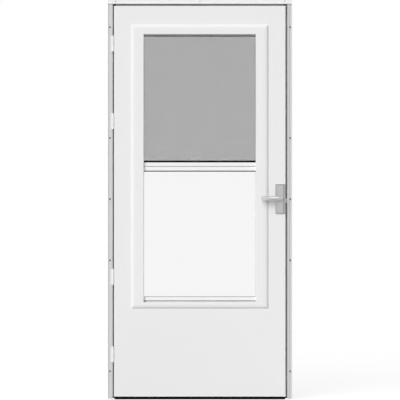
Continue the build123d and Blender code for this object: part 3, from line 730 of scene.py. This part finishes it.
def frame_screw_places():
    """Each frame screw of the record's mounting patterns: its node, X and Z."""
    header_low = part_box("header_z_bar")[0].z
    middle_x = (cad_low.x + cad_high.x) / 2
    places = []
    for mount in frame["record"]["mounts"]:
        if mount["kind"] != "bolt_pattern":
            continue
        centre_x, _, centre_z = mount["pos_m"]
        reach_x = mount["dims"]["spacing_x_mm"] / 2 * MM
        reach_z = mount["dims"].get("spacing_y_mm", 0.0) / 2 * MM
        for x in (centre_x - reach_x, centre_x + reach_x):
            for z in sorted({centre_z - reach_z, centre_z + reach_z}):
                if z > header_low:
                    node = "header_z_bar"
                else:
                    node = "hinge_side_z_bar" if x < middle_x else "latch_side_z_bar"
                places.append((node, x, z))
        # The header's middle screw stands between its two others and is in no pattern.
        if centre_z > header_low:
            places.append(("header_z_bar", middle_x, centre_z))
    return places


class STORMDOOR_OT_hinge_fasteners(bpy.types.Operator):
    """Rivet the jamb leaves to the flange and screw the door leaves to the slab's edge"""

    bl_idname = "storm_door.hinge_fasteners"
    bl_label = "Hinge fasteners"

    def execute(self, context):
        sizes = context.scene.storm_fasteners
        rivet = button_shape("rivet", sizes.rivet_width, sizes.rivet_rise, sizes.segments)
        screw = screw_shape("leaf screw", sizes.flat_width, sizes.flat_rise, PLATE_SINK, sizes.segments)
        leaf_thickness = 1.5 * MM
        rivet_inset = 4.3 * MM
        screw_inset = 9.0 * MM
        leaf_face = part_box("door_slab")[0].x - leaf_thickness
        rivets = bmesh.new()
        screws = bmesh.new()
        for jamb_leaf, door_leaf in zip(numbered("jamb_hinge_leaf"), numbered("door_hinge_leaf")):
            low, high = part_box(jamb_leaf)
            x = low.x + rivet_inset
            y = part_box(door_leaf)[1].y - screw_inset
            middle = (low.z + high.z) / 2
            for z in (middle - sizes.hinge_spacing, middle, middle + sizes.hinge_spacing):
                seat_fastener(rivets, rivet, Vector((x, depth_at(jamb_leaf, x, z), z)), FACING_OUTSIDE)
                seat_fastener(screws, screw, Vector((leaf_face, y, z)), FACING_HINGES)
        add_piece("hinge_rivets", rivets, "white powder coat on the header", "frame")
        add_piece("hinge_screws", screws, "zinc plated steel", "door")
        return {"FINISHED"}


class STORMDOOR_OT_latch_screws(bpy.types.Operator):
    """Screw down the faceplate, the strike plate and the inside plate"""

    bl_idname = "storm_door.latch_screws"
    bl_label = "Latch screws"

    def execute(self, context):
        sizes = context.scene.storm_fasteners
        flat = screw_shape("plate screw", sizes.flat_width, sizes.flat_rise, PLATE_SINK, sizes.segments)
        oval = screw_shape("oval screw", sizes.oval_width, sizes.oval_rise, PLATE_SINK, sizes.segments)

        case_low, case_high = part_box("latch_case")
        centre_y = (case_low.y + case_high.y) / 2
        inset = 6.5 * MM
        bm = bmesh.new()
        for z in (case_low.z + inset, case_high.z - inset):
            seat_fastener(bm, flat, Vector((case_high.x, centre_y, z)), FACING_LATCH)
        add_piece("faceplate_screws", bm, "zinc plated steel", "door")

        strike_low, strike_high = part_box("strike_plate")
        inset = 9.0 * MM
        bm = bmesh.new()
        for z in (strike_low.z + inset, strike_high.z - inset):
            seat_fastener(bm, flat, Vector((strike_low.x, centre_y, z)), FACING_HINGES)
        add_piece("strike_screws", bm, "zinc plated steel", "frame")

        plate_low, plate_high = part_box("inside_plate")
        inset = 12.0 * MM
        centre_x = (plate_low.x + plate_high.x) / 2
        bm = bmesh.new()
        for z in (plate_low.z + inset, plate_high.z - inset):
            seat_fastener(bm, oval, Vector((centre_x, plate_high.y, z)), FACING_INSIDE)
        add_piece("inside_plate_screws", bm, "brushed satin nickel", "door")
        return {"FINISHED"}


class STORMDOOR_OT_retainer_caps(bpy.types.Operator):
    """Cap the screws that clamp the inside retainer to the moulding"""

    bl_idname = "storm_door.retainer_caps"
    bl_label = "Retainer caps"

    def execute(self, context):
        sizes = context.scene.storm_fasteners
        cap = button_shape("screw cap", sizes.cap_width, sizes.cap_rise, sizes.segments)
        low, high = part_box("inside_retainer")
        # The caps stand on the middle line of the retainer's strips, clear of its corners.
        inset = (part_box("window_head")[0].x - low.x) / 2
        upright_caps, level_caps = 6, 3
        bm = bmesh.new()
        for z in spread(low.z + 3 * inset, high.z - 3 * inset, upright_caps):
            for x in (low.x + inset, high.x - inset):
                seat_fastener(bm, cap, Vector((x, high.y, z)), FACING_INSIDE)
        for x in spread(low.x + 5 * inset, high.x - 5 * inset, level_caps):
            for z in (low.z + inset, high.z - inset):
                seat_fastener(bm, cap, Vector((x, high.y, z)), FACING_INSIDE)
        add_piece("retainer_caps", bm, "extruded white vinyl", "door")
        return {"FINISHED"}


class STORMDOOR_OT_sash_latches(bpy.types.Operator):
    """Add the sliding latches by which the vent sash and the screen are lifted from inside"""

    bl_idname = "storm_door.sash_latches"
    bl_label = "Sash latches"

    def execute(self, context):
        sizes = context.scene.storm_window
        base_height, base_rise = 12.0 * MM, 1.2 * MM
        grip_width, grip_height, grip_rise, grip_edge = 10.0 * MM, 8.0 * MM, 3.0 * MM, 0.8 * MM
        sash_rail_middle, screen_rail_middle = 10.3 * MM, 9.3 * MM
        sash_low, sash_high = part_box("vent_sash_frame")
        screen_low, screen_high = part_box("screen_frame")
        # Middle height and inner face of the vent sash's top rail and of the screen's bottom rail
        rails = (
            (sash_high.z - sash_rail_middle, sash_high.y),
            (screen_low.z + screen_rail_middle, screen_high.y),
        )
        bm = bmesh.new()
        for z, face_y in rails:
            for x in (sash_low.x + sizes.latch_inset, sash_high.x - sizes.latch_inset):
                add_bar(
                    bm,
                    (x - sizes.latch_width / 2, face_y, z - base_height / 2),
                    (x + sizes.latch_width / 2, face_y + base_rise, z + base_height / 2),
                )
                grip = add_bar(
                    bm,
                    (x - grip_width / 2, face_y, z - grip_height / 2),
                    (x + grip_width / 2, face_y + grip_rise, z + grip_height / 2),
                )
                bmesh.ops.bevel(
                    bm,
                    geom=list({edge for vert in grip for edge in vert.link_edges}),
                    offset=grip_edge,
                    affect="EDGES",
                    segments=2,
                    profile=0.5,
                    material=-1,
                )
        add_piece("sash_latches", bm, "extruded white vinyl", "door")
        return {"FINISHED"}


class STORMDOOR_OT_meeting_seal(bpy.types.Operator):
    """Close the joint between the lower sash and the screen frame with its pile seal"""

    bl_idname = "storm_door.meeting_seal"
    bl_label = "Meeting seal"

    def execute(self, context):
        outer_inset, inner_inset = 1.5 * MM, 0.5 * MM
        sash_low, sash_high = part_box("lower_sash_frame")
        screen_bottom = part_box("screen_frame")[0].z
        bm = bmesh.new()
        add_bar(
            bm,
            (sash_low.x, sash_low.y + outer_inset, sash_high.z),
            (sash_high.x, sash_high.y - inner_inset, screen_bottom),
        )
        add_piece("meeting_seal", bm, "black foam seal", "door")
        return {"FINISHED"}


class STORMDOOR_OT_screen_mesh(bpy.types.Operator):
    """Lay the insect screen's wires at their real pitch"""

    bl_idname = "storm_door.screen_mesh"
    bl_label = "Insect screen"

    def execute(self, context):
        # The real yarn is 0.28 mm thick. It is drawn wider, so that the screen darkens what is
        # behind it as much as it does in the photograph, and its pitch stays the real one.
        sizes = context.scene.storm_window
        low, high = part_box("insect_screen")
        middle = (low.y + high.y) / 2
        half = sizes.wire / 2
        bm = bmesh.new()
        count = int((high.x - low.x) / sizes.upright_pitch)
        for x in spread(low.x + half, high.x - half, count):
            add_bar(bm, (x - half, middle - sizes.yarn, low.z), (x + half, middle, high.z))
        count = int((high.z - low.z) / sizes.level_pitch)
        for z in spread(low.z + half, high.z - half, count):
            add_bar(bm, (low.x, middle, z - half), (high.x, middle + sizes.yarn, z + half))
        piece = add_piece("screen_wires", bm, "charcoal screen yarn", "door")
        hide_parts("insect_screen")
        return {"FINISHED"}


class STORMDOOR_OT_stage(bpy.types.Operator):
    """Set the floor, the light and the camera of the photograph"""

    bl_idname = "storm_door.stage"
    bl_label = "Stage"

    def execute(self, context):
        wanted = context.scene.storm_stage
        add_floor()
        add_sky(wanted.ambient)
        add_lamp("outside lamp", OUTSIDE_LAMP_WAY, wanted.lamps, wanted.softness)
        add_lamp("inside lamp", INSIDE_LAMP_WAY, wanted.lamps, wanted.softness)
        add_camera(wanted)
        context.scene.view_settings.view_transform = "Standard"
        return {"FINISHED"}


def add_floor():
    """Pale floor at the sweep's foot, white where it is seen, with the door's shadow on it."""
    material, tree = blank_material("pale studio floor")
    seen = seen_directly(tree)
    # Where it is seen, the floor is nearly white and partly its own light; to the door it is dimmer.
    own_light = 0.65
    dim, bright = 0.35, 0.97
    glow = add_node(
        tree,
        "ShaderNodeMapRange",
        inputs={"Value": seen, "To Min": 0.0, "To Max": own_light},
    )
    tone = add_node(tree, "ShaderNodeMapRange", inputs={"Value": seen, "To Min": dim, "To Max": bright})
    matt = add_node(tree, "ShaderNodeBsdfDiffuse", inputs={"Color": tone.outputs["Result"]})
    white = add_node(tree, "ShaderNodeEmission", inputs={"Strength": 1.0})
    pale = add_node(
        tree,
        "ShaderNodeMixShader",
        inputs={0: glow.outputs["Result"], 1: matt.outputs["BSDF"], 2: white.outputs["Emission"]},
    )
    add_node(tree, "ShaderNodeOutputMaterial", inputs={"Surface": pale.outputs["Shader"]})

    reach = 4.0
    drop = 0.5 * MM
    place = Matrix.Translation(((cad_low.x + cad_high.x) / 2, 0, cad_low.z - drop))
    bm = bmesh.new()
    bmesh.ops.create_grid(bm, x_segments=1, y_segments=1, size=reach, matrix=place)
    mesh = bpy.data.meshes.new("floor")
    bm.to_mesh(mesh)
    bm.free()
    mesh.materials.append(material)
    floor = bpy.data.objects.new("floor", mesh)
    bpy.context.scene.collection.objects.link(floor)


def add_sky(ambient):
    """Even light from all round, white where it is seen."""
    world = bpy.data.worlds.new("studio")
    bpy.context.scene.world = world
    world.use_nodes = True
    tree = world.node_tree
    tree.nodes.clear()
    level = add_node(
        tree,
        "ShaderNodeMapRange",
        inputs={"Value": seen_directly(tree), "To Min": ambient, "To Max": 1.0},
    )
    sky = add_node(
        tree,
        "ShaderNodeBackground",
        inputs={"Color": (1.0, 1.0, 1.0, 1.0), "Strength": level.outputs["Result"]},
    )
    add_node(tree, "ShaderNodeOutputWorld", inputs={"Surface": sky.outputs["Background"]})


def add_lamp(name, way, share, softness):
    """Soft lamp shining this way, strong enough to give the door's face its share of the light."""
    way = Vector(way).normalized()
    data = bpy.data.lights.new(name, "SUN")
    data.energy = share * math.pi / abs(way.y)
    data.angle = softness
    lamp = bpy.data.objects.new(name, data)
    lamp.rotation_euler = way.to_track_quat("-Z", "Y").to_euler()
    bpy.context.scene.collection.objects.link(lamp)


def add_camera(wanted):
    """Camera square to the door's face, framed as the photograph is."""
    data = bpy.data.cameras.new("camera")
    data.sensor_width = FILM_WIDTH
    data.lens = FILM_WIDTH * wanted.distance / (PHOTO_PIXELS * wanted.pixel_size)
    data.clip_end = 100.0
    camera = bpy.data.objects.new("camera", data)
    camera.location = (wanted.centre_x, -wanted.distance, wanted.centre_z)
    camera.rotation_euler = (math.pi / 2, 0, 0)
    bpy.context.scene.collection.objects.link(camera)
    bpy.context.scene.camera = camera


class STORMDOOR_PT_panel(bpy.types.Panel):
    """Steps that dress the storm door, in order"""

    bl_idname = "STORMDOOR_PT_panel"
    bl_label = "Storm Door"
    bl_space_type = "VIEW_3D"
    bl_region_type = "UI"
    bl_category = "Storm Door"

    def draw(self, context):
        for operator in OPERATORS:
            self.layout.operator(operator.bl_idname)


SETTINGS = {
    "storm_finishes": FinishSettings,
    "storm_fasteners": FastenerSettings,
    "storm_window": WindowSettings,
    "storm_stage": StageSettings,
}
OPERATORS = (
    STORMDOOR_OT_finishes,
    STORMDOOR_OT_frame_screws,
    STORMDOOR_OT_hinge_fasteners,
    STORMDOOR_OT_latch_screws,
    STORMDOOR_OT_retainer_caps,
    STORMDOOR_OT_sash_latches,
    STORMDOOR_OT_meeting_seal,
    STORMDOOR_OT_screen_mesh,
    STORMDOOR_OT_stage,
)
CLASSES = (*SETTINGS.values(), *OPERATORS, STORMDOOR_PT_panel)


def register():
    for kind in CLASSES:
        bpy.utils.register_class(kind)
    for name, group in SETTINGS.items():
        setattr(bpy.types.Scene, name, bpy.props.PointerProperty(type=group))


def unregister():
    for name in SETTINGS:
        delattr(bpy.types.Scene, name)
    for kind in reversed(CLASSES):
        bpy.utils.unregister_class(kind)


def main():
    register()
    bpy.ops.storm_door.finishes()
    bpy.ops.storm_door.frame_screws()
    bpy.ops.storm_door.hinge_fasteners()
    bpy.ops.storm_door.latch_screws()
    bpy.ops.storm_door.retainer_caps()
    bpy.ops.storm_door.sash_latches()
    bpy.ops.storm_door.meeting_seal()
    bpy.ops.storm_door.screen_mesh()
    bpy.ops.storm_door.stage()


if __name__ == "__main__":
    main()
